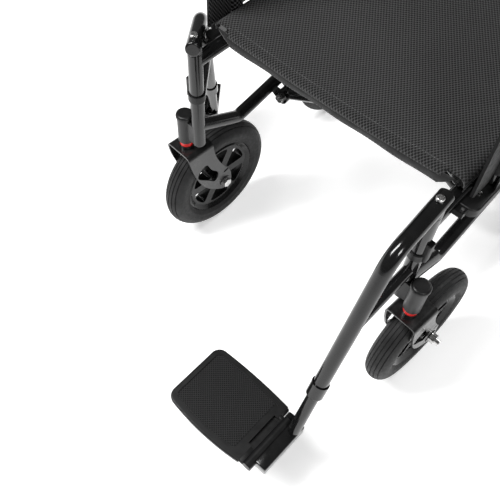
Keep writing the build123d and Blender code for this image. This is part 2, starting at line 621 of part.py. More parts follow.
def hanger(side, stance):
    """Bent legrest tube that pivots on the front post, its end cap, clamp collar and welded lower arm."""
    x = side * POST_X
    tail, corner = at_side(side, HANGER_TAIL), at_side(side, HANGER_CORNER)
    back_run = (Vector(*tail) - Vector(*corner)).normalized()
    cap_end = Vector(*tail) + back_run * 4
    arm_drop = (LEG_ARM_Z - HANGER_END[2]) / LEG_DOWN.Z
    arm_y = along_leg(side, arm_drop)[1]
    with BuildPart() as tube:
        pipe([tail, corner, along_leg(side, 0)], TUBE_R, bend=45)
        rod(tail, tuple(cap_end), TUBE_R)
        fillet(tube.edges().group_by(Axis.Y)[-1], 3.0)
        rod((x, POST_Y, POST_TOP_Z + GAP), (x, POST_Y, POST_TOP_Z + 14), TUBE_R)
        rod((x, POST_Y, 458), (x, POST_Y, 468.0), 5.8)
        rod((x, POST_Y, 400), (x, POST_Y, 480), 5.0 + RUN_FIT, Mode.SUBTRACT)
        rod((x, POST_Y - 8, LEG_ARM_Z), (x, arm_y, LEG_ARM_Z), 8.5)
        rod((x, POST_Y, LEG_ARM_Z - 20), (x, POST_Y, LEG_ARM_Z + 20), TUBE_R + GAP, Mode.SUBTRACT)
        rod(along_leg(side, -25), along_leg(side, 0), 13.0)
        fillet(tube.edges().filter_by(GeomType.CIRCLE).group_by(Axis.Z)[0], 1.0)
        rod(along_leg(side, -200), along_leg(side, 3), TUBE_R - WALL, Mode.SUBTRACT)
    finish(tube, "hanger", side, stance)


def leg_extension(side, stance):
    """Telescoping leg tube with the foot bar and pin that carry the footplate."""
    plate_x = side * PLATE_X
    bar_in, bar_out = side * 196.0, side * 210.0
    with BuildPart() as leg:
        pipe([along_leg(side, -110), along_leg(side, 84)], LEG_R, wall=1.8)
        rod(along_leg(side, 64), along_leg(side, 86), LEG_R)
        block((bar_in, -280, 98), (bar_out, -195, 119))
        fillet(leg.edges().filter_by(Axis.X).group_by(Axis.Y)[0], 9)
        fillet(leg.faces().sort_by(Axis.Y)[0].edges().filter_by(Axis.Z), 3)
        block((plate_x, -200, PLATE_Z - 8), (side * 200, -192, PLATE_Z + 7))
        rod((plate_x, -200, PLATE_Z), (plate_x, -192, PLATE_Z), 8)
        rod((plate_x, -288, PLATE_Z), (plate_x, -198, PLATE_Z), 4.0)
    finish(leg, "leg_extension", side, stance)


def footplate(side, stance):
    """Bowed plate with a raised rim, a finger recess and the hinge barrel with its end cap."""
    barrel_r, rim, thick = 8.0, 9.0, 9.0
    inner, outer = 28.0, 173.0

    def outline(inset):
        a, b = side * (inner + inset), side * (outer - inset)
        front, back_edge = -297 + inset, -187 - inset
        middle = side * (inner + outer) / 2
        with BuildLine() as edge:
            Line((a, front), (a, back_edge))
            ThreePointArc((a, back_edge), (middle, back_edge + 3), (b, back_edge))
            Line((b, back_edge), (b, front))
            ThreePointArc((b, front), (middle, front - 6), (a, front))
        make_face(edge.edges())

    with BuildPart() as plate:
        with BuildSketch(Plane.XY.offset(PLATE_TOP_Z - thick)) as full:
            outline(0)
            fillet(full.vertices().sort_by(Axis.X, reverse=side < 0)[:2], 16)
        extrude(amount=thick)
        with BuildSketch(Plane.XY.offset(PLATE_TOP_Z - 1.6)) as tread:
            outline(rim)
            fillet(tread.vertices(), 9)
        extrude(amount=1.6, mode=Mode.SUBTRACT)
        fillet(plate.edges().group_by(Axis.Z)[0], 2.5)
        block((side * (outer - 1), -284, PLATE_TOP_Z - thick), (side * PLATE_X, -204, PLATE_TOP_Z - 1))
        rod((side * PLATE_X, -294, PLATE_Z), (side * PLATE_X, -201, PLATE_Z), barrel_r)
        fillet(plate.edges().filter_by(GeomType.CIRCLE).group_by(Axis.Y)[0], 2.5)
        block((side * (outer - 7), -267, PLATE_TOP_Z - 6), (side * (outer + 4), -211, 130), Mode.SUBTRACT)
        rod((side * PLATE_X, -289, PLATE_Z), (side * PLATE_X, -190, PLATE_Z), 4.0 + RUN_FIT, Mode.SUBTRACT)
    finish(plate, "footplate", side, stance)


# ---- fasteners ----
def frame_bolts(side):
    """Loose hardware of a side frame: legrest pivot bolt, brace foot bolt, bracket rivets, rear axle."""
    x, foot_x, foot_y = side * POST_X, side * BRACE_FOOT_X, BRACE_Y[side]
    hub = side * (REAR_X - 21.3)
    with BuildPart() as bolts:
        rod((x, POST_Y, POST_TOP_Z - 27), (x, POST_Y, 469), 5.0)
        rod((x, POST_Y, 468.4), (x, POST_Y, 472.0), 5.2)
        fillet(bolts.edges().group_by(Axis.Z)[-1], 1.2)
        rod((foot_x, foot_y - 19, BRACE_FOOT_Z), (foot_x, foot_y + 19, BRACE_FOOT_Z), 4.0)
        hex_bar((foot_x, foot_y - 15.5, BRACE_FOOT_Z), (foot_x, foot_y - 22, BRACE_FOOT_Z), 14)
        hex_bar((foot_x, foot_y + 15.5, BRACE_FOOT_Z), (foot_x, foot_y + 22, BRACE_FOOT_Z), 14)
        for rivet_x, y, z, r in ((222.0, 82, SHELF_Z, 3.6), (221.0, 46, SHELF_Z - 1, 2.4)):
            rod((side * rivet_x, y, z), (side * rivet_x, y, z + 2.2), r)
        rod((side * (POST_X - 12), REAR_Y, REAR_R), (side * (REAR_X + 27), REAR_Y, REAR_R), 6.0)
        hex_bar((side * (POST_X - 12), REAR_Y, REAR_R), (side * (POST_X - 19), REAR_Y, REAR_R), 19)
        rod((side * (POST_X + 16), REAR_Y, REAR_R), (hub, REAR_Y, REAR_R), 9.5)
        hex_bar((side * (REAR_X + 21.5), REAR_Y, REAR_R), (side * (REAR_X + 29), REAR_Y, REAR_R), 19)
    finish(bolts, "frame_bolts", side)


def write_all():
    """Writes every piece about the bottom centre of the whole chair's bounding box."""
    boxes = [solid.bounding_box() for solid in pieces.values()]
    middle_x = (min(box.min.X for box in boxes) + max(box.max.X for box in boxes)) / 2
    middle_y = (min(box.min.Y for box in boxes) + max(box.max.Y for box in boxes)) / 2
    origin = Location((-middle_x, -middle_y, -min(box.min.Z for box in boxes)))
    os.makedirs("parts", exist_ok=True)
    for name, solid in pieces.items():
        placed = solid.moved(origin)
        placed.label = name
        export_step(placed, f"parts/{name}.step")
    return origin.position


for side in (LEFT, RIGHT):
    front_post(side)
    upper_rail(side)
    lower_rail(side)
    back_cane(side)
    push_grip(side)
    caster_housing(side)
    caster_stance = turned(side * STEM_X, 0, 0, (0, 0, CASTER_TURN[side]))
    caster_fork(side, caster_stance)
    caster_axle(side, caster_stance)
    caster_centre, rear_centre = (side * STEM_X, TRAIL, CASTER_R), (side * REAR_X, REAR_Y, REAR_R)
    wheel("caster", side, caster_centre, CASTER_R, CASTER_W, 76.0, 15.0, 6, 5.0 + RUN_FIT, caster_stance)
    wheel("rear", side, rear_centre, REAR_R, REAR_W, 122.0, 18.0, 6, 6.0 + RUN_FIT)
    cross_brace(side)
    seat_rail(side)
    seat_guides(side)
    arm_bracket(side)
    armrest(side)
    arm_hinge(side)
    wheel_lock(side)
    leg_stance = turned(side * POST_X, POST_Y, 0, (0, 0, -LEG_SWING)) if side == RIGHT else None
    plate_stance = leg_stance * turned(-PLATE_X, 0, PLATE_Z, (0, -PLATE_FLIP, 0)) if side == RIGHT else None
    hanger(side, leg_stance)
    leg_extension(side, leg_stance)
    footplate(side, plate_stance)
    frame_bolts(side)
seat()
back()
shift = write_all()
print(len(pieces), "pieces; datum moved by", shift)
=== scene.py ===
"""Looks of the folding transport wheelchair: materials, upholstery and small trim on the CAD frame.

Everything is in metres in the row frame: +X to the sitter's left, -Y forwards, +Z up, floor at Z = 0.
"""

import json
from math import cos, pi, radians, sin, tan

import bmesh
import bpy
from mathutils import Matrix, Vector


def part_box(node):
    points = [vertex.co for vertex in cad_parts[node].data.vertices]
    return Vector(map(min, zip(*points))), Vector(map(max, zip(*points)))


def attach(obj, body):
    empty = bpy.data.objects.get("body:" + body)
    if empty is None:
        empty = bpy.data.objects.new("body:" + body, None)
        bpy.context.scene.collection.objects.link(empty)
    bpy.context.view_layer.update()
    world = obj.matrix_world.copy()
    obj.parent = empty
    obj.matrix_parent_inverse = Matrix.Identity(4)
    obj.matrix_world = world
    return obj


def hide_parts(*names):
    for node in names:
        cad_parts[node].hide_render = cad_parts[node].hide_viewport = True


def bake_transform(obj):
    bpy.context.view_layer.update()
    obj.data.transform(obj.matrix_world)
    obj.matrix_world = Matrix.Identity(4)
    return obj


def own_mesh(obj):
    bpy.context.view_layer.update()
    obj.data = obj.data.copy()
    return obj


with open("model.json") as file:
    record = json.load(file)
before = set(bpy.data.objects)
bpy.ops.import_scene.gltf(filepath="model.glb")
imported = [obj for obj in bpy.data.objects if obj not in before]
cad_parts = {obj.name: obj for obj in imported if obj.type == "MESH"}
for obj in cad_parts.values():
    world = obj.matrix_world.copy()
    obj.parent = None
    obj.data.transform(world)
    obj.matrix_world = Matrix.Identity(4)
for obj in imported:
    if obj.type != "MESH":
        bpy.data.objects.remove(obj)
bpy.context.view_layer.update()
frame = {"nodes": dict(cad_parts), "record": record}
scene = bpy.context.scene
MM = 0.001

LEFT, RIGHT = 1, -1
SUFFIX = {LEFT: "l", RIGHT: "r"}
FRAME_BODY = {LEFT: "left_frame", RIGHT: "right_frame"}


# ---- places, taken from the CAD nodes ----
def middle(node):
    """Centre of a CAD node's box."""
    low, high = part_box(node)
    return (Vector(low) + Vector(high)) / 2


post_l, post_r = middle("front_post_l"), middle("front_post_r")
# The chair's own sizes are measured from here: on the floor, midway between the front posts and 5 mm ahead.
DATUM = Vector(((post_l.x + post_r.x) / 2, post_l.y - 5 * MM, 0))
POST_X = (post_l.x - post_r.x) / 2
RAIL_X = (middle("seat_rail_l").x - middle("seat_rail_r").x) / 2
RAIL_Z = middle("seat_rail_l").z
TUBE_R = 11 * MM
SEAT_LOW, SEAT_HIGH = (Vector(corner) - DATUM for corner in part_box("seat"))
CANE_KNEE_Z, CANE_LEAN = 480 * MM, radians(7)
CANE_Y = 455 * MM
LEG_SWING, PLATE_FLIP = radians(141), radians(86)
PLATE_HINGE = Vector((186 * MM, 0, 112 * MM))


def cane_y(z):
    """Depth of a back cane's axis at a height: upright below the knee, leaning back above it."""
    return CANE_Y + max(0.0, z - CANE_KNEE_Z) * tan(CANE_LEAN)


# ---- node materials ----
class Shader:
    """A material under construction: one principled shader and the nodes that feed it."""

    def __init__(self, name, **constants):
        self.material = bpy.data.materials.new(name)
        self.material.use_nodes = True
        self.tree = self.material.node_tree
        self.out = self.tree.nodes["Principled BSDF"]
        for key, value in constants.items():
            self.out.inputs[key.replace("_", " ")].default_value = value

    def node(self, kind, *inputs, **settings):
        made = self.tree.nodes.new(kind)
        for key, value in settings.items():
            setattr(made, key, value)
        for socket, source in zip(made.inputs, inputs):
            self.feed(socket, source)
        return made

    def feed(self, socket, source):
        if source is None:
            return
        if isinstance(source, bpy.types.NodeSocket):
            self.tree.links.new(source, socket)
        else:
            socket.default_value = source

    def math(self, operation, a, b=None, c=None):
        return self.node("ShaderNodeMath", a, b, c, operation=operation).outputs[0]

    def vector(self, operation, a, b=None):
        made = self.node("ShaderNodeVectorMath", a, b, operation=operation)
        return made.outputs["Value"] if operation == "LENGTH" else made.outputs["Vector"]

    def place(self):
        return self.node("ShaderNodeTexCoord").outputs["Object"]

    def noise(self, where, scale, detail=3.0, rough=0.5):
        made = self.node("ShaderNodeTexNoise")
        self.feed(made.inputs["Vector"], where)
        made.inputs["Scale"].default_value = scale
        made.inputs["Detail"].default_value = detail
        made.inputs["Roughness"].default_value = rough
        return made.outputs["Fac"]

    def ramp(self, factor, low, high, low_value, high_value):
        """Runs from low_value to high_value while factor runs from low to high."""
        made = self.node("ShaderNodeMapRange")
        self.feed(made.inputs["Value"], factor)
        limits = {"From Min": low, "From Max": high, "To Min": low_value, "To Max": high_value}
        for key, value in limits.items():
            made.inputs[key].default_value = value
        return made.outputs["Result"]

    def blend_colour(self, factor, a, b):
        made = self.node("ShaderNodeMix", data_type="RGBA")
        self.feed(made.inputs["Factor"], factor)
        self.feed(made.inputs["A"], a)
        self.feed(made.inputs["B"], b)
        return made.outputs["Result"]

    def colour(self, source):
        self.feed(self.out.inputs["Base Color"], source)

    def roughness(self, source):
        self.feed(self.out.inputs["Roughness"], source)

    def bump(self, height, strength, distance):
        made = self.node("ShaderNodeBump")
        made.inputs["Strength"].default_value = strength
        made.inputs["Distance"].default_value = distance
        self.feed(made.inputs["Height"], height)
        self.tree.links.new(made.outputs["Normal"], self.out.inputs["Normal"])


def grey(value):
    """Neutral grey with a touch of blue."""
    return (value, value, value * 1.02, 1.0)


def powder_coat():
    """Gloss black powder coat: a deep black under a clear skin with a faint orange peel."""
    s = Shader("powder_coat", Coat_Weight=0.3, Coat_Roughness=0.03, Specular_IOR_Level=0.3)
    where = s.place()
    dust = s.noise(where, 35, 4)
    s.colour(s.blend_colour(s.ramp(dust, 0.4, 0.75, 0, 1), grey(0.004), grey(0.008)))
    s.roughness(s.ramp(s.noise(where, 90, 3), 0.3, 0.7, 0.12, 0.2))
    s.bump(s.noise(where, 700, 2), 0.05, 0.3 * MM)
    return s.material


def fork_coat():
    """Black enamel on pressed plate: a little rougher, with scuffs."""
    s = Shader("fork_coat", Coat_Weight=0.2, Coat_Roughness=0.12, Specular_IOR_Level=0.4)
    where = s.place()
    scuff = s.noise(where, 60, 6, 0.65)
    s.colour(s.blend_colour(s.ramp(scuff, 0.5, 0.8, 0, 1), grey(0.006), grey(0.018)))
    s.roughness(s.ramp(scuff, 0.3, 0.75, 0.24, 0.42))
    s.bump(s.noise(where, 500, 2), 0.06, 0.3 * MM)
    return s.material


def moulded(name, tone, rough, grain=900):
    """Moulded plastic with a fine spark-eroded grain."""
    s = Shader(name, Specular_IOR_Level=0.26)
    where = s.place()
    patch = s.noise(where, 25, 3)
    s.colour(s.blend_colour(s.ramp(patch, 0.35, 0.7, 0, 1), grey(tone * 0.85), grey(tone * 1.2)))
    s.roughness(s.ramp(s.noise(where, 120, 4), 0.3, 0.7, rough - 0.05, rough + 0.07))
    s.bump(s.noise(where, grain, 2), 0.18, 0.25 * MM)
    return s.material


def tyre_rubber():
    """Dark grey solid tyre: matt, dusty in the pores, faintly mottled."""
    s = Shader("tyre_rubber", Specular_IOR_Level=0.25)
    where = s.place()
    dust = s.noise(where, 45, 5, 0.6)
    s.colour(s.blend_colour(s.ramp(dust, 0.35, 0.75, 0, 1), grey(0.008), grey(0.020)))
    s.roughness(s.ramp(s.noise(where, 200, 3), 0.3, 0.7, 0.5, 0.68))
    s.bump(s.noise(where, 1100, 3), 0.25, 0.2 * MM)
    return s.material


def soft_rubber():
    """Ribless black rubber of the push grips."""
    s = Shader("soft_rubber", Specular_IOR_Level=0.3)
    where = s.place()
    s.colour(s.blend_colour(s.noise(where, 70, 4), grey(0.006), grey(0.018)))
    s.roughness(s.ramp(s.noise(where, 160, 3), 0.3, 0.7, 0.55, 0.75))
    s.bump(s.noise(where, 1400, 2), 0.3, 0.2 * MM)
    return s.material


def zinc():
    """Bright zinc plate with faint streaks and worn edges of the plating."""
    s = Shader("zinc", Metallic=1.0)
    where = s.place()
    streak = s.noise(s.vector("MULTIPLY", where, (900, 120, 120)), 1, 3)
    s.colour(s.blend_colour(streak, (0.42, 0.42, 0.43, 1), (0.82, 0.81, 0.79, 1)))
    s.roughness(s.ramp(s.noise(where, 400, 3), 0.3, 0.7, 0.18, 0.36))
    s.bump(streak, 0.08, 0.1 * MM)
    return s.material


def red_ring():
    """Glossy red plastic of the ring on a caster's stem."""
    s = Shader("red_ring", Coat_Weight=0.3)
    where = s.place()
    s.colour(s.blend_colour(s.noise(where, 130, 3), (0.55, 0.012, 0.012, 1), (0.78, 0.02, 0.018, 1)))
    s.roughness(s.ramp(s.noise(where, 300, 2), 0.3, 0.7, 0.25, 0.4))
    return s.material


def leatherette():
    """Black artificial leather of the arm pads: pebbled grain between fine creases, with painted shade in the
    creases.
    """
    s = Shader("leatherette", Coat_Weight=0.1)
    where = s.place()
    cells = s.node("ShaderNodeTexVoronoi", feature="DISTANCE_TO_EDGE")
    s.feed(cells.inputs["Vector"], where)
    cells.inputs["Scale"].default_value = 480
    pebble = s.ramp(cells.outputs["Distance"], 0.0, 0.25, 0, 1)
    # Creases get a darker grey than the pebble tops: painted shade in the creases.
    s.colour(s.blend_colour(pebble, grey(0.004), grey(0.013)))
    s.roughness(s.ramp(pebble, 0, 1, 0.6, 0.38))
    s.bump(pebble, 0.35, 0.3 * MM)
    return s.material


def lattice(s, where, pitch_x, pitch_y):
    """Distance to the nearest point of a staggered lattice, in pitches: about 0 at a hole's centre."""
    scaled = s.vector("MULTIPLY", where, (1 / pitch_x, 1 / pitch_y, 0))
    centred = []
    for offset in ((0, 0, 0), (0.5, 0.5, 0)):
        cell = s.vector("FRACTION", s.vector("ADD", scaled, offset))
        centred.append(s.vector("LENGTH", s.vector("SUBTRACT", cell, (0.5, 0.5, 0))))
    return s.math("MINIMUM", *centred)


def turn_to_plane(s, where, plane, roll=0.0):
    """Object coordinates with the two named axes first; roll carries the weave on over a turned-down edge."""
    parts = s.node("ShaderNodeSeparateXYZ", where).outputs
    depth = ({"X", "Y", "Z"} - set(plane)).pop()
    along = s.math("MULTIPLY_ADD", parts[depth], roll, parts[plane[1]])
    return s.node("ShaderNodeCombineXYZ", parts[plane[0]], along, parts[depth]).outputs["Vector"]


def knit(s, where, low, high):
    """Colour and height of spacer fabric: light yarn bars round staggered holes, the holes painted near black
    as painted shade.
    """
    hole = s.ramp(lattice(s, where, 4.9 * MM, 7.1 * MM), 0.25, 0.39, 0, 1)
    yarn = s.noise(s.vector("MULTIPLY", where, (1, 3, 1)), 900, 2)
    tone = s.blend_colour(s.ramp(yarn, 0.3, 0.7, 0, 1), grey(low), grey(high))
    # Holes get near black, darker than any yarn: painted shade down in the holes.
    return s.blend_colour(hole, grey(0.001), tone), s.math("MULTIPLY_ADD", yarn, 0.25, hole)


def spacer_mesh(name, plane, roll=0.0):
    """Dark spacer fabric of the seat and the back."""
    s = Shader(name, Sheen_Weight=0.12, Sheen_Roughness=0.5, Specular_IOR_Level=0.3)
    where = turn_to_plane(s, s.place(), plane, roll)
    colour, height = knit(s, where, 0.024, 0.066)
    s.colour(colour)
    s.roughness(s.ramp(height, 0, 1, 0.9, 0.62))
    s.bump(height, 0.8, 1.2 * MM)
    return s.material


def panel_cloth():
    """Side panel: spacer mesh on the sitter's side, painted lighter than the seat's as painted light, smooth
    coated black outside.
    """
    s = Shader("panel_cloth", Specular_IOR_Level=0.12)
    where = s.place()
    parts = s.node("ShaderNodeSeparateXYZ", where).outputs
    faces = s.node("ShaderNodeSeparateXYZ", s.node("ShaderNodeTexCoord").outputs["Normal"]).outputs
    outward = s.math("MULTIPLY", s.math("SUBTRACT", parts["X"], DATUM.x), faces["X"])
    inside = s.math("LESS_THAN", outward, 0.0)
    # The spacer mesh here is painted lighter than the same fabric on the seat and back: painted light on a
    # face that lies in shade.
    colour, height = knit(s, turn_to_plane(s, where, "YZ"), 0.06, 0.13)
    coating = s.blend_colour(s.noise(where, 60, 4), grey(0.004), grey(0.009))
    s.colour(s.blend_colour(inside, coating, colour))
    s.roughness(s.ramp(s.noise(where, 150, 3), 0.3, 0.7, 0.42, 0.6))
    s.bump(s.math("MULTIPLY", height, inside), 0.6, 1.0 * MM)
    return s.material


def woven_band():
    """Close plain weave of the hems and bindings."""
    s = Shader("woven_band", Sheen_Weight=0.1, Sheen_Roughness=0.4, Specular_IOR_Level=0.25)
    where = s.place()
    warp = s.node("ShaderNodeTexWave", wave_type="BANDS", bands_direction="X")
    weft = s.node("ShaderNodeTexWave", wave_type="BANDS", bands_direction="DIAGONAL")
    for wave in (warp, weft):
        s.feed(wave.inputs["Vector"], where)
        wave.inputs["Scale"].default_value = 330
    weave = s.math("MULTIPLY", warp.outputs["Fac"], weft.outputs["Fac"])
    s.colour(s.blend_colour(weave, grey(0.005), grey(0.018)))
    s.roughness(s.ramp(s.noise(where, 90, 3), 0.3, 0.7, 0.62, 0.8))
    s.bump(weave, 0.4, 0.3 * MM)
    return s.material


def thread():
    """Sewing thread."""
    s = Shader("thread", Sheen_Weight=0.4)
    where = s.place()
    s.colour(s.blend_colour(s.noise(where, 800, 2), grey(0.02), grey(0.05)))
    s.roughness(s.ramp(s.noise(where, 500, 2), 0.3, 0.7, 0.5, 0.7))
    return s.material


def tread_plastic():
    """Footplate tread: a fine raised cross-hatch, with painted shade in its pits."""
    s = Shader("tread_plastic", Specular_IOR_Level=0.2)
    where = s.place()
    pit = s.ramp(lattice(s, where, 4.6 * MM, 4.6 * MM), 0.16, 0.30, 0, 1)
    # Pits get near black and the raised lattice a lighter grey: painted shade in the pits.
    s.colour(s.blend_colour(pit, grey(0.001), grey(0.017)))
    s.roughness(s.ramp(pit, 0, 1, 0.7, 0.42))
    s.bump(pit, 0.7, 0.8 * MM)
    return s.material


def floor_white():
    """White studio floor, self-lit so that it stays white under soft shadows."""
    s = Shader("floor_white", Roughness=0.9, Emission_Color=(1, 1, 1, 1), Emission_Strength=0.42)
    where = s.place()
    s.colour(s.blend_colour(s.noise(where, 3, 2), (0.90, 0.90, 0.90, 1), (0.93, 0.93, 0.93, 1)))
    return s.material


POWDER, FORK, ZINC, RED = powder_coat(), fork_coat(), zinc(), red_ring()
PLASTIC, PANEL = moulded("moulded_black", 0.006, 0.38), panel_cloth()
HOUSING, RIM = moulded("housing_grey", 0.020, 0.36, 600), moulded("rim_black", 0.005, 0.2, 300)
TYRE, GRIP, LEATHER = tyre_rubber(), soft_rubber(), leatherette()
SEAT_MESH, BACK_MESH = spacer_mesh("seat_spacer", "XY", roll=0.6), spacer_mesh("back_spacer", "XZ")
BAND, THREAD, TREAD, FLOOR = woven_band(), thread(), tread_plastic(), floor_white()

BY_SLOT = {
    "frame": POWDER,
    "fork": FORK,
    "plastic": PLASTIC,
    "panel": PANEL,
    "housing": HOUSING,
    "grip": GRIP,
    "pad": LEATHER,
    "tyre": TYRE,
    "rim": RIM,
    "steel": ZINC,
    "ring": RED,
    "seat_cloth": SEAT_MESH,
    "back_cloth": BACK_MESH,
}


def dress_cad():
    """Gives every CAD node the material of its slot."""
    slots = {part["node"]: part["material_slot"] for part in frame["record"]["subparts"]}
    for node, obj in frame["nodes"].items():
        obj.data.materials.clear()
        obj.data.materials.append(BY_SLOT[slots[node]])


# ---- mesh helpers ----
def add_object(name, bm, material, smooth=True):
    """New object from a bmesh, with its faces turned outwards."""
    bmesh.ops.recalc_face_normals(bm, faces=bm.faces)
    mesh = bpy.data.meshes.new(name)
    bm.to_mesh(mesh)
    bm.free()
    for face in mesh.polygons:
        face.use_smooth = smooth
    mesh.materials.append(material)
    obj = bpy.data.objects.new(name, mesh)
    scene.collection.objects.link(obj)
    return obj


def sheet_mesh(point, columns, rows):
    """Grid of faces over the unit square: point(u, v) gives each corner."""
    bm = bmesh.new()
    grid = [[bm.verts.new(point(i / columns, j / rows)) for j in range(rows + 1)] for i in range(columns + 1)]
    for i in range(columns):
        for j in range(rows):
            bm.faces.new((grid[i][j], grid[i + 1][j], grid[i + 1][j + 1], grid[i][j + 1]))
    bm.normal_update()
    return bm


def modifier(obj, kind, **settings):
    """New modifier of a kind, with its settings."""
    made = obj.modifiers.new(kind.lower(), kind)
    for key, value in settings.items():
        setattr(made, key, value)
    return made


def thicken(obj, amount):
    """Gives a sheet its thickness, on the far side of its face normals."""
    modifier(obj, "SOLIDIFY", thickness=amount, offset=-1.0, use_even_offset=True)


def stitch_row(name, points):
    """Row of raised stitches: one lies between each pair of points."""
    length, width = 3.2 * MM, 0.55 * MM
    bm = bmesh.new()
    for start, end in zip(points[::2], points[1::2]):
        along = (end - start).normalized()
        turn = along.to_track_quat("X", "Z").to_matrix().to_4x4()
        place = Matrix.Translation((start + end) / 2) @ turn @ Matrix.Diagonal((length / 2, width, width, 1))
        bmesh.ops.create_icosphere(bm, subdivisions=1, radius=1.0, matrix=place)
    return add_object(name, bm, THREAD)


def path_points(point, length, pitch=4.6 * MM):
    """Pairs of points, stitch by stitch, along point(t) for t from 0 to 1."""
    count = int(length / pitch)
    marks = []
    for i in range(count):
        marks += [point((i + 0.15) / count), point((i + 0.85) / count)]
    return marks


# ---- seat ----
SEAT_Y0, SEAT_Y1 = SEAT_LOW.y, SEAT_HIGH.y
SEAT_SAG = 8 * MM
CLOTH = 3.4 * MM
WRAP_R = TUBE_R + CLOTH - 1.4 * MM
FRONT_ROLL = 8 * MM


def seat_section(u):
    """Cross-section across the chair: over one rail, down the sling, over the other rail."""
    wrap = 0.14
    drop = radians(100)
    if u < wrap or u > 1 - wrap:
        side = RIGHT if u < wrap else LEFT
        share = u / wrap if side == RIGHT else (1 - u) / wrap
        turn = drop * (1 - share)
        return side * (RAIL_X + WRAP_R * sin(turn)), RAIL_Z + WRAP_R * cos(turn), 0.0
    across = (u - wrap) / (1 - 2 * wrap) * 2 - 1
    sag = SEAT_SAG * (1 - across * across)
    return across * RAIL_X, RAIL_Z + WRAP_R - sag, sag


def pucker(x, y):
    """Slight waviness of stretched cloth, strongest near the corners."""
    edge = min(1.0, max(0.0, (abs(x) - 110 * MM) / (80 * MM)))
    corner_wave = 0.5 * MM * edge * sin(y * 95 + 2.0 * sin(x * 60))
    return corner_wave + 0.35 * MM * sin(x * 48 + 1.3) * sin(y * 41 + 0.4)


def seat_point(u, v):
    """v runs from the back edge forwards and, at the front, over the rolled edge."""
    x, z, sag = seat_section(u)
    inner = abs(x) < RAIL_X - 16 * MM
    flat = SEAT_Y1 - SEAT_Y0 - FRONT_ROLL
    roll = radians(95) * FRONT_ROLL if inner else 0.0
    along = v * (flat + roll)
    y = SEAT_Y1 - along
    if along > flat:
        turn = (along - flat) / FRONT_ROLL
        y = SEAT_Y0 + FRONT_ROLL - FRONT_ROLL * sin(turn)
        z -= FRONT_ROLL * (1 - cos(turn))
    return DATUM + Vector((x, y, z + pucker(x, y)))


def hem_point(u, v):
    """Smooth woven band turned down under the front edge; its ends are cut on the slant."""
    low, high = SEAT_LOW.z + 0.5 * MM, RAIL_Z + WRAP_R - 5 * MM
    reach = (176 + 21 * (1 - v)) * MM
    x = (2 * u - 1) * reach
    share = x / RAIL_X
    sag = SEAT_SAG * (1 - share * share) * (1 - 0.6 * v)
    z = high - sag + (low - high) * v + (sag * v * 0.2)
    bulge = 1.6 * MM * sin(pi * min(1.0, v * 1.1))
    y = SEAT_Y0 + 1.6 * MM - bulge + 2 * MM * v + 0.7 * MM * sin(x * 70 + 3 * v)
    return DATUM + Vector((x, y, z))


def hem_seam(t):
    """Line of the stitches near the hem's lower edge, just in front of its cloth."""
    return hem_point(0.02 + 0.96 * t, 0.82) + Vector((0, -1 * MM, 0))


def front_seam(t):
    """Line of the stitches just behind the front edge."""
    x = (2 * t - 1) * (RAIL_X - 22 * MM)
    share = x / RAIL_X
    z = RAIL_Z + WRAP_R - SEAT_SAG * (1 - share * share)
    return DATUM + Vector((x, SEAT_Y0 + 13 * MM, z + 0.4 * MM + pucker(x, SEAT_Y0 + 13 * MM)))


def binding(side):
    """Folded tape along the sling's outer edge, outboard of the rail."""
    turn = radians(88)
    radius = WRAP_R + 0.9 * MM

    def point(u, v):
        angle = turn + (u - 0.5) * radians(34)
        x = side * (RAIL_X + radius * sin(angle))
        y = SEAT_Y0 + 3 * MM + v * (SEAT_Y1 - SEAT_Y0 - 6 * MM)
        return DATUM + Vector((x, y, RAIL_Z + radius * cos(angle) + 0.3 * MM * sin(y * 130)))

    bm = sheet_mesh(point, 6, 60)
    bmesh.ops.solidify(bm, geom=bm.faces, thickness=1.2 * MM)
    return bm


def make_seat():
    """Seat sling with its front hem, side bindings and stitches."""
    mesh = add_object("seat_mesh", sheet_mesh(seat_point, 120, 110), SEAT_MESH)
    thicken(mesh, CLOTH)
    hem = add_object("seat_hem", sheet_mesh(hem_point, 96, 8), BAND)
    thicken(hem, 2.2 * MM)
    sides = [add_object(f"seat_binding_{SUFFIX[side]}", binding(side), BAND) for side in (LEFT, RIGHT)]
    rows = [
        stitch_row("seat_stitch_front", path_points(front_seam, 0.36)),
        stitch_row("hem_stitch", path_points(hem_seam, 0.34)),
    ]
    for piece in (mesh, hem, *sides, *rows):
        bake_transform(piece)
    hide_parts("seat")


# ---- back ----
BACK_Z0, BACK_Z1 = 505 * MM, 868 * MM
BACK_HALF = POST_X - TUBE_R - 0.8 * MM
BACK_BOW = 24 * MM


def back_point(u, v, lift=0.0):
    """Sling between the canes: a bowed strip that leans with them, fuller at the lower third."""
    across = 2 * u - 1
    z = BACK_Z0 + (BACK_Z1 - BACK_Z0) * v
    depth = BACK_BOW * (1 - across * across) * (0.85 + 0.35 * sin(pi * (0.15 + 0.75 * (1 - v))))
    ripple = 0.7 * MM * sin(z * 80 + 4 * across) * (abs(across) ** 3)
    y = cane_y(z) - 2 * MM + depth + ripple + lift
    return DATUM + Vector((across * BACK_HALF, y, z))


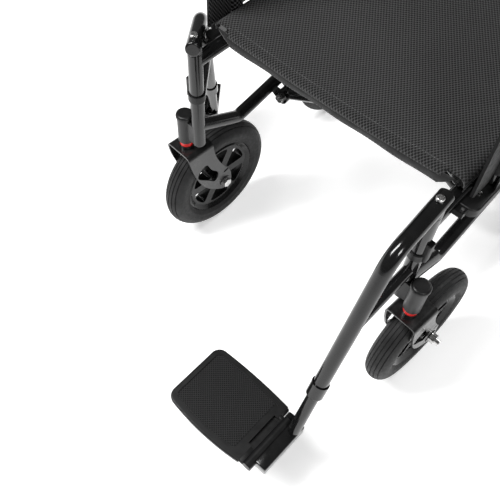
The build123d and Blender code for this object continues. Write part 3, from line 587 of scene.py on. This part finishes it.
def make_back():
    """Back sling with its hems and stitches, carried by the left frame."""
    mesh = add_object("back_mesh", sheet_mesh(back_point, 90, 80), BACK_MESH)
    thicken(mesh, 4 * MM)
    trims = []
    for name, low, high in (("back_hem_top", 0.945, 1.0), ("back_hem_low", 0.0, 0.06)):
        bm = sheet_mesh(lambda u, v: back_point(u, low + (high - low) * v, lift=-1.6 * MM), 90, 6)
        hem = add_object(name, bm, BAND)
        thicken(hem, -6.4 * MM)
        modifier(hem, "BEVEL", width=1.2 * MM, segments=2)
        trims.append(hem)
    for v, name in ((0.93, "back_stitch_top"), (0.072, "back_stitch_low")):
        points = path_points(lambda t: back_point(0.02 + 0.96 * t, v, lift=-0.4 * MM), 0.37)
        trims.append(stitch_row(name, points))
    for piece in (mesh, *trims):
        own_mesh(piece)
        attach(piece, "left_frame")
    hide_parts("back")


SLEEVE_R = TUBE_R + 1.3 * MM
SLEEVES = (("low", BACK_Z0, 648 * MM), ("high", 690 * MM, BACK_Z1))  # below and above the armrest's clamp


def sleeve(side, z0, z1):
    """Cloth sleeve of the back, round a cane."""

    def point(u, v):
        turn = 2 * pi * u
        z = z0 + (z1 - z0) * v
        radius = SLEEVE_R + 0.35 * MM * sin(z * 170 + 2 * turn) * sin(pi * v)
        return DATUM + Vector((side * POST_X + radius * cos(turn), cane_y(z) + radius * sin(turn), z))

    bm = sheet_mesh(point, 28, 40)
    bmesh.ops.remove_doubles(bm, verts=bm.verts, dist=0.05 * MM)
    bmesh.ops.solidify(bm, geom=bm.faces, thickness=0.9 * MM)
    return bm


def make_sleeves():
    """The four sleeves that hold the back on its canes."""
    for side in (LEFT, RIGHT):
        for part, z0, z1 in SLEEVES:
            name = f"back_sleeve_{part}_{SUFFIX[side]}"
            piece = add_object(name, sleeve(side, z0, z1), BAND)
            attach(piece, FRAME_BODY[side])


# ---- arm pads ----
def slot_outline(length, width, count=14):
    """Points round a slot whose long side is along Y."""
    half, reach = width / 2, length / 2 - width / 2
    ring = []
    for end in (1, -1):
        for i in range(count + 1):
            turn = pi * i / count if end > 0 else pi + pi * i / count
            ring.append(Vector((half * cos(turn), end * reach + half * sin(turn), 0)))
    return ring


def pad_mesh(low, high, crown):
    """Closed pad between two corners, with rounded shoulders, a crowned top and a flat base."""
    size, centre = high - low, (low + high) / 2
    ring = slot_outline(size.y, size.x)
    straight = (size.y - size.x) / 2
    width_at_height = {0.0: 0.86, 0.06: 0.97, 0.25: 1.0, 0.5: 1.0, 0.68: 0.985, 0.83: 0.93, 0.92: 0.82}
    bm = bmesh.new()
    rings = []
    corner = Vector((centre.x, centre.y, low.z))
    for height, scale in width_at_height.items():
        shrink = (1 - scale) * size.x / 2
        lift = Vector((0, 0, height * size.z))
        layer = []
        for point in ring:
            past_straight = max(0.0, abs(point.y) - straight) * (1 if point.y > 0 else -1)
            outward = Vector((point.x, past_straight, 0))
            moved = point - outward.normalized() * shrink if outward.length else point
            layer.append(bm.verts.new(corner + moved + lift))
        rings.append(layer)
    count = len(ring)
    for below, above in zip(rings, rings[1:]):
        for i in range(count):
            bm.faces.new((below[i], below[(i + 1) % count], above[(i + 1) % count], above[i]))
    bm.faces.new(rings[0])
    top = bm.faces.new(rings[-1])
    bmesh.ops.inset_region(bm, faces=[top], thickness=size.x * 0.12, depth=crown)
    return bm


def inflate(obj, cap):
    """Remeshes a closed pad, blows it up a little as cloth and keeps every point within cap of its start."""
    modifier(obj, "REMESH", mode="VOXEL", voxel_size=4 * MM)
    apply_modifiers(obj)
    rest = [vert.co.copy() for vert in obj.data.vertices]
    cloth = modifier(obj, "CLOTH")
    cloth.settings.use_pressure = True
    cloth.settings.uniform_pressure_force = 4.0
    cloth.settings.effector_weights.gravity = 0.0
    for number in range(1, 21):
        scene.frame_set(number)
    apply_modifiers(obj)
    scene.frame_set(1)
    for vert, start in zip(obj.data.vertices, rest):
        step = vert.co - start
        if step.length > cap:
            vert.co = start + step.normalized() * cap
    modifier(obj, "SUBSURF", levels=1, render_levels=1)
    apply_modifiers(obj)
    for face in obj.data.polygons:
        face.use_smooth = True


def apply_modifiers(obj):
    """Keeps the mesh that the modifiers give, and drops the modifiers."""
    graph = bpy.context.evaluated_depsgraph_get()
    mesh = bpy.data.meshes.new_from_object(obj.evaluated_get(graph), depsgraph=graph)
    obj.modifiers.clear()
    obj.data = mesh


def bead_along(points, radius):
    """Round bead along a closed chain of points in a level plane."""
    sides = 8
    bm = bmesh.new()
    rings = []
    count = len(points)
    for i, point in enumerate(points):
        ahead = points[(i + 1) % count] - points[i - 1]
        side_way = Vector((ahead.y, -ahead.x, 0)).normalized()
        ring = []
        for k in range(sides):
            turn = 2 * pi * k / sides
            offset = side_way * radius * cos(turn) + Vector((0, 0, radius * sin(turn)))
            ring.append(bm.verts.new(point + offset))
        rings.append(ring)
    for i in range(count):
        a, b = rings[i], rings[(i + 1) % count]
        for k in range(sides):
            bm.faces.new((a[k], b[k], b[(k + 1) % sides], a[(k + 1) % sides]))
    return bm


def piping(low, high):
    """Bead round an arm pad, a little below its middle."""
    size, centre = high - low, (low + high) / 2
    level = Vector((centre.x, centre.y, low.z + 0.42 * size.z))
    return bead_along([point + level for point in slot_outline(size.y, size.x)], 1.2 * MM)


def make_arm_pads():
    """Padded arm rests, each with a bead round it. The CAD pad's box holds the swollen pad."""
    for side in (LEFT, RIGHT):
        mark = SUFFIX[side]
        low, high = (Vector(corner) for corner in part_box(f"arm_pad_{mark}"))
        swell_below = Vector((2, 2, 0)) * MM
        swell_above = Vector((2, 2, 2)) * MM
        bm = pad_mesh(low + swell_below, high - swell_above, 1.5 * MM)
        pad = add_object(f"arm_cushion_{mark}", bm, LEATHER)
        inflate(pad, 3 * MM)
        seam = add_object(f"arm_seam_{mark}", piping(low, high), LEATHER)
        for piece in (pad, seam):
            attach(piece, f"armrest_{mark}")
        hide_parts(f"arm_pad_{mark}")


# ---- footplates ----
def leg_stance(side, flipped):
    """Moves what is written for a legrest pointing forwards, with its footplate down, to where it rests."""
    if side == LEFT:
        return Matrix.Translation(DATUM)
    hinge = Vector((-PLATE_HINGE.x, 0, PLATE_HINGE.z))
    post = Vector((-POST_X, post_l.y - DATUM.y, 0))
    swing = Matrix.Translation(post) @ Matrix.Rotation(-LEG_SWING, 4, "Z") @ Matrix.Translation(-post)
    flip = Matrix.Translation(hinge) @ Matrix.Rotation(-PLATE_FLIP, 4, "Y") @ Matrix.Translation(-hinge)
    return Matrix.Translation(DATUM) @ swing @ (flip if flipped else Matrix.Identity(4))


TREAD_X, TREAD_Y, TREAD_TOP = (38 * MM, 155 * MM), (-286 * MM, -197 * MM), 115.3 * MM
TREAD_BOW_FRONT, TREAD_BOW_REAR = 5.4 * MM, 2.7 * MM


def tread_point(side, u, v):
    """Tread pad in the recess of a footplate, bowed like the plate's front and rear edges."""
    x = TREAD_X[0] + (TREAD_X[1] - TREAD_X[0]) * u
    bow = 1 - (2 * u - 1) ** 2
    y0, y1 = TREAD_Y[0] - TREAD_BOW_FRONT * bow, TREAD_Y[1] + TREAD_BOW_REAR * bow
    return Vector((side * x, y0 + (y1 - y0) * v, TREAD_TOP))


def make_treads():
    """Tread pads of both footplates."""
    for side in (LEFT, RIGHT):
        bm = sheet_mesh(lambda u, v: tread_point(side, u, v), 30, 20)
        bmesh.ops.solidify(bm, geom=bm.faces, thickness=0.9 * MM)
        tread = add_object(f"footplate_tread_{SUFFIX[side]}", bm, TREAD, smooth=False)
        tread.matrix_world = leg_stance(side, True)
        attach(tread, f"plate_{SUFFIX[side]}")


def soft_box(side, near, far, round_off):
    """Box with rounded edges, written in millimetres for the left side and mirrored to the right one."""
    low = Vector((min(side * near[0], side * far[0]), near[1], near[2])) * MM
    high = Vector((max(side * near[0], side * far[0]), far[1], far[2])) * MM
    bm = bmesh.new()
    place = Matrix.Translation((low + high) / 2) @ Matrix.Diagonal((*(high - low), 1))
    bmesh.ops.create_cube(bm, size=1.0, matrix=place)
    bmesh.ops.bevel(bm, geom=bm.edges[:], offset=round_off * MM, segments=3, profile=0.5, affect="EDGES")
    return bm


# Two corners in millimetres on the left side, the body and the slot of each piece beside a footplate's hinge.
HINGE_PIECES = {
    "front": ((166, -295, 107.6), (181, -268, 115.4), "plate", "plastic"),
    "rear": ((166, -210, 107.6), (181, -202.5, 115.4), "plate", "plastic"),
    "corner": ((166, -204, 107.6), (177, -188.5, 115.4), "plate", "plastic"),
    "cover": ((191.4, -281.5, 97), (211.2, -194.4, 120), "leg", "frame"),
}


def make_plate_edges():
    """Fills of the moulding between a footplate and its hinge barrel, and the cover of its foot bar."""
    for side in (LEFT, RIGHT):
        mark = SUFFIX[side]
        for name, (near, far, body, slot) in HINGE_PIECES.items():
            piece = add_object(f"footplate_{name}_{mark}", soft_box(side, near, far, 2.2), BY_SLOT[slot])
            piece.matrix_world = leg_stance(side, body == "plate")
            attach(piece, f"{body}_{mark}")


# ---- stage ----
def make_floor():
    """White floor just under the tyres."""
    bm = bmesh.new()
    bmesh.ops.create_grid(bm, x_segments=2, y_segments=2, size=6.0)
    bmesh.ops.translate(bm, verts=bm.verts, vec=(0, 0, -0.3 * MM))
    add_object("floor", bm, FLOOR, smooth=False)


def area_light(name, place, target, size, size_y, power):
    """Rectangular softbox; place and target are measured from the datum."""
    data = bpy.data.lights.new(name, "AREA")
    data.shape = "RECTANGLE"
    data.size = size
    data.size_y = size_y
    data.energy = power
    lamp = bpy.data.objects.new(name, data)
    lamp.location = DATUM + Vector(place)
    lamp.rotation_euler = (Vector(target) - Vector(place)).to_track_quat("-Z", "Y").to_euler()
    scene.collection.objects.link(lamp)


def make_lights():
    """Dim white surroundings, a key from the front right, a fill from the left and a light from behind."""
    world = bpy.data.worlds.new("studio")
    world.use_nodes = True
    world.node_tree.nodes["Background"].inputs["Color"].default_value = (1, 1, 1, 1)
    world.node_tree.nodes["Background"].inputs["Strength"].default_value = 0.14
    scene.world = world
    area_light("key", (-0.9, -1.0, 2.4), (0, 0.1, 0.2), 0.6, 1.5, 88)
    area_light("fill", (1.9, -0.8, 2.0), (0, 0, 0.2), 0.6, 0.6, 24)
    area_light("rim", (0.4, 2.2, 1.9), (0, 0.2, 0.4), 0.7, 0.7, 26)


def make_camera():
    """Looks down on the front of the chair from its left front."""
    place = DATUM + Vector((353.0, -505.8, 1077.0)) * MM
    azimuth, elevation, roll = radians(40.385), radians(56.532), radians(2.996)
    back = Vector((sin(azimuth) * cos(elevation), -cos(azimuth) * cos(elevation), sin(elevation)))
    right = (-back).cross(Vector((0, 0, 1))).normalized()
    up = right.cross(-back)
    tilted_right = right * cos(roll) + up * sin(roll)
    tilted_up = up * cos(roll) - right * sin(roll)
    data = bpy.data.cameras.new("camera")
    data.sensor_width = 36.0
    data.lens = 48.39
    data.clip_start = 0.02
    camera = bpy.data.objects.new("camera", data)
    turn = Matrix((tilted_right, tilted_up, back)).transposed().to_4x4()
    camera.matrix_world = Matrix.Translation(place) @ turn
    scene.collection.objects.link(camera)
    scene.camera = camera


scene.view_settings.view_transform = "Standard"
make_camera()
dress_cad()
make_seat()
make_back()
make_sleeves()
make_arm_pads()
make_treads()
make_plate_edges()
make_floor()
make_lights()
